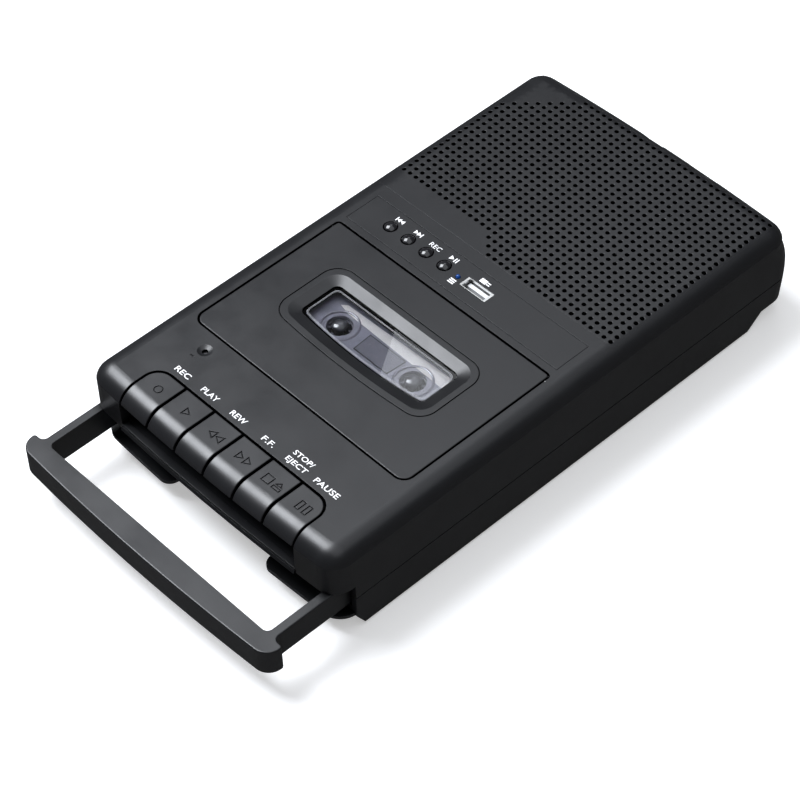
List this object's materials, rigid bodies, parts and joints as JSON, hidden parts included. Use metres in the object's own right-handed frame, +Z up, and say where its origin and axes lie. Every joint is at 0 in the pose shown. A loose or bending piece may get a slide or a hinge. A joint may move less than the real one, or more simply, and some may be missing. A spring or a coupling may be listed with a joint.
{
  "type": "portable cassette recorder",
  "caption": "Flat portable cassette recorder with a pull-out carrying handle, piano keys, windowed cassette door, control strip and perforated loudspeaker grille.",
  "frame": {"origin": "centre of the bounding box in plan, on the surface that the rubber feet stand on, with the handle pulled out", "axes": "+Z up, +Y from the handle and keys towards the loudspeaker, +X to the right as the keys are used"},
  "size_m": [0.1472, 0.2968, 0.0483],
  "materials": {
    "case_plastic": "fine satin texture",
    "handle_plastic": "satin",
    "key_plastic": "satin",
    "button_plastic": "gloss",
    "clear_window": "clear polished acrylic",
    "bright_steel": "nickel plated",
    "zinc_steel": "zinc plated sheet",
    "screw_steel": "black zinc",
    "motor_can": "plated can",
    "brass": "turned",
    "flywheel_metal": "turned rim",
    "magnet_ferrite": "ferrite",
    "paper_cone": "pressed paper",
    "belt_rubber": "flat belt",
    "roller_rubber": "matt rubber",
    "head_metal": "polished face",
    "circuit_board": "lacquered board",
    "connector_plastic": "moulded",
    "usb_tongue_plastic": "white moulded",
    "led_blue": "tinted lens",
    "microphone_can": "drawn can",
    "cassette_clear": "smoky clear styrene",
    "hub_white": "moulded",
    "spindle_black": "moulded",
    "tape_brown": "oxide tape",
    "battery_jacket": "plain jacket"
  },
  "bodies": {
    "root": {"top_shell": "case_plastic", "speaker_grille": "case_plastic", "bottom_shell": "case_plastic", "control_panel": "case_plastic", "key_shaft": "bright_steel", "door_hinge_pins": "bright_steel", "usb_socket": "bright_steel", "key_springs": "bright_steel", "battery_contacts": "bright_steel", "chassis_plate": "zinc_steel", "speaker_frame": "zinc_steel", "case_screws": "screw_steel", "plate_screws": "screw_steel", "motor": "motor_can", "volume_control": "motor_can", "capstan_bearing": "brass", "speaker_magnet": "magnet_ferrite", "speaker_cone": "paper_cone", "drive_belt": "belt_rubber", "rubber_feet": "roller_rubber", "main_board": "circuit_board", "button_board": "circuit_board", "earphone_jack": "connector_plastic", "microphone_jack": "connector_plastic", "dc_socket": "connector_plastic", "usb_tongue": "usb_tongue_plastic", "led_lens": "led_blue", "microphone_capsule": "microphone_can", "cassette_shell": "cassette_clear", "battery_cells": "battery_jacket"},
    "carry_handle": {"carry_handle": "handle_plastic"},
    "cassette_door": {"cassette_door": "case_plastic", "door_window": "clear_window", "cassette_pressure_springs": "bright_steel"},
    "head_bridge": {"head_bridge": "zinc_steel", "record_play_head": "head_metal", "erase_head": "head_metal"},
    "pinch_roller": {"pinch_roller": "roller_rubber"},
    "flywheel": {"flywheel": "flywheel_metal", "capstan": "bright_steel"},
    "motor_pulley": {"motor_pulley": "brass"},
    "supply_reel": {"supply_spindle": "spindle_black", "supply_hub": "hub_white", "supply_tape": "tape_brown"},
    "take_up_reel": {"take_up_spindle": "spindle_black", "take_up_hub": "hub_white", "take_up_tape": "tape_brown"},
    "volume_wheel": {"volume_wheel": "button_plastic"},
    "battery_door": {"battery_door": "case_plastic"},
    "door_latch": {"door_latch": "zinc_steel"},
    "key_record": {"key_record": "key_plastic"},
    "key_play": {"key_play": "key_plastic"},
    "key_rewind": {"key_rewind": "key_plastic"},
    "key_fast_forward": {"key_fast_forward": "key_plastic"},
    "key_stop_eject": {"key_stop_eject": "key_plastic"},
    "key_pause": {"key_pause": "key_plastic"},
    "button_previous": {"button_previous": "button_plastic"},
    "button_next": {"button_next": "button_plastic"},
    "button_record": {"button_record": "button_plastic"},
    "button_play_pause": {"button_play_pause": "button_plastic"}
  },
  "joints": [
    {"name": "handle_slide", "type": "slide", "parent": "root", "child": "carry_handle", "axis": [0, 1, 0], "range_m": [0, 0.0345]},
    {"name": "door_hinge", "type": "hinge", "parent": "root", "child": "cassette_door", "pos_m": [0, 0.0111, 0.0454], "axis": [-1, 0, 0], "range_deg": [0, 62]},
    {"name": "key_record_press", "type": "hinge", "parent": "root", "child": "key_record", "pos_m": [0, -0.0717, 0.0345], "axis": [1, 0, 0], "range_deg": [0, 10.5], "stiffness_Nm_per_rad": 0.6, "springref_deg": -6.88},
    {"name": "key_play_press", "type": "hinge", "parent": "root", "child": "key_play", "pos_m": [0, -0.0717, 0.0345], "axis": [1, 0, 0], "range_deg": [0, 10.5], "stiffness_Nm_per_rad": 0.6, "springref_deg": -6.88},
    {"name": "key_rewind_press", "type": "hinge", "parent": "root", "child": "key_rewind", "pos_m": [0, -0.0717, 0.0345], "axis": [1, 0, 0], "range_deg": [0, 10.5], "stiffness_Nm_per_rad": 0.6, "springref_deg": -6.88},
    {"name": "key_fast_forward_press", "type": "hinge", "parent": "root", "child": "key_fast_forward", "pos_m": [0, -0.0717, 0.0345], "axis": [1, 0, 0], "range_deg": [0, 10.5], "stiffness_Nm_per_rad": 0.6, "springref_deg": -6.88},
    {"name": "key_stop_eject_press", "type": "hinge", "parent": "root", "child": "key_stop_eject", "pos_m": [0, -0.0717, 0.0345], "axis": [1, 0, 0], "range_deg": [0, 10.5], "stiffness_Nm_per_rad": 0.6, "springref_deg": -6.88},
    {"name": "key_pause_press", "type": "hinge", "parent": "root", "child": "key_pause", "pos_m": [0, -0.0717, 0.0345], "axis": [1, 0, 0], "range_deg": [0, 10.5], "stiffness_Nm_per_rad": 0.6, "springref_deg": -6.88},
    {"name": "button_previous_press", "type": "slide", "parent": "root", "child": "button_previous", "axis": [0, 0, -1], "range_m": [0, 0.0005], "stiffness_N_per_m": 900, "springref_m": -0.0005},
    {"name": "button_next_press", "type": "slide", "parent": "root", "child": "button_next", "axis": [0, 0, -1], "range_m": [0, 0.0005], "stiffness_N_per_m": 900, "springref_m": -0.0005},
    {"name": "button_record_press", "type": "slide", "parent": "root", "child": "button_record", "axis": [0, 0, -1], "range_m": [0, 0.0005], "stiffness_N_per_m": 900, "springref_m": -0.0005},
    {"name": "button_play_pause_press", "type": "slide", "parent": "root", "child": "button_play_pause", "axis": [0, 0, -1], "range_m": [0, 0.0005], "stiffness_N_per_m": 900, "springref_m": -0.0005},
    {"name": "bridge_slide", "type": "slide", "parent": "root", "child": "head_bridge", "axis": [0, 1, 0], "range_m": [0, 0.003]},
    {"name": "latch_slide", "type": "slide", "parent": "root", "child": "door_latch", "axis": [0, 1, 0], "range_m": [0, 0.0015]},
    {"name": "flywheel_spin", "type": "hinge", "parent": "root", "child": "flywheel", "pos_m": [0.026, -0.05345, 0.015], "axis": [0, 0, 1], "continuous": true},
    {"name": "motor_spin", "type": "hinge", "parent": "root", "child": "motor_pulley", "pos_m": [-0.036, -0.0477, 0.014], "axis": [0, 0, 1], "continuous": true},
    {"name": "pinch_roller_spin", "type": "hinge", "parent": "head_bridge", "child": "pinch_roller", "pos_m": [0.026, -0.0625, 0.036], "axis": [0, 0, 1], "continuous": true},
    {"name": "supply_reel_spin", "type": "hinge", "parent": "root", "child": "supply_reel", "pos_m": [-0.02125, -0.0222, 0.035], "axis": [0, 0, 1], "continuous": true},
    {"name": "take_up_reel_spin", "type": "hinge", "parent": "root", "child": "take_up_reel", "pos_m": [0.02125, -0.0222, 0.035], "axis": [0, 0, 1], "continuous": true},
    {"name": "volume_turn", "type": "hinge", "parent": "root", "child": "volume_wheel", "pos_m": [-0.0626, 0.0363, 0.0285], "axis": [0, 0, 1], "range_deg": [0, 270]},
    {"name": "battery_door_slide", "type": "slide", "parent": "root", "child": "battery_door", "axis": [0, 1, 0], "range_m": [0, 0.055]}
  ],
  "couplings": [
    {"joint": "bridge_slide", "follows": "key_play_press", "m_per_rad": 0.016369},
    {"joint": "latch_slide", "follows": "key_stop_eject_press", "m_per_rad": 0.008184},
    {"joint": "motor_spin", "follows": "flywheel_spin", "ratio": 6},
    {"joint": "take_up_reel_spin", "follows": "flywheel_spin", "ratio": 0.07407},
    {"joint": "supply_reel_spin", "follows": "flywheel_spin", "ratio": 0.04878}
  ]
}
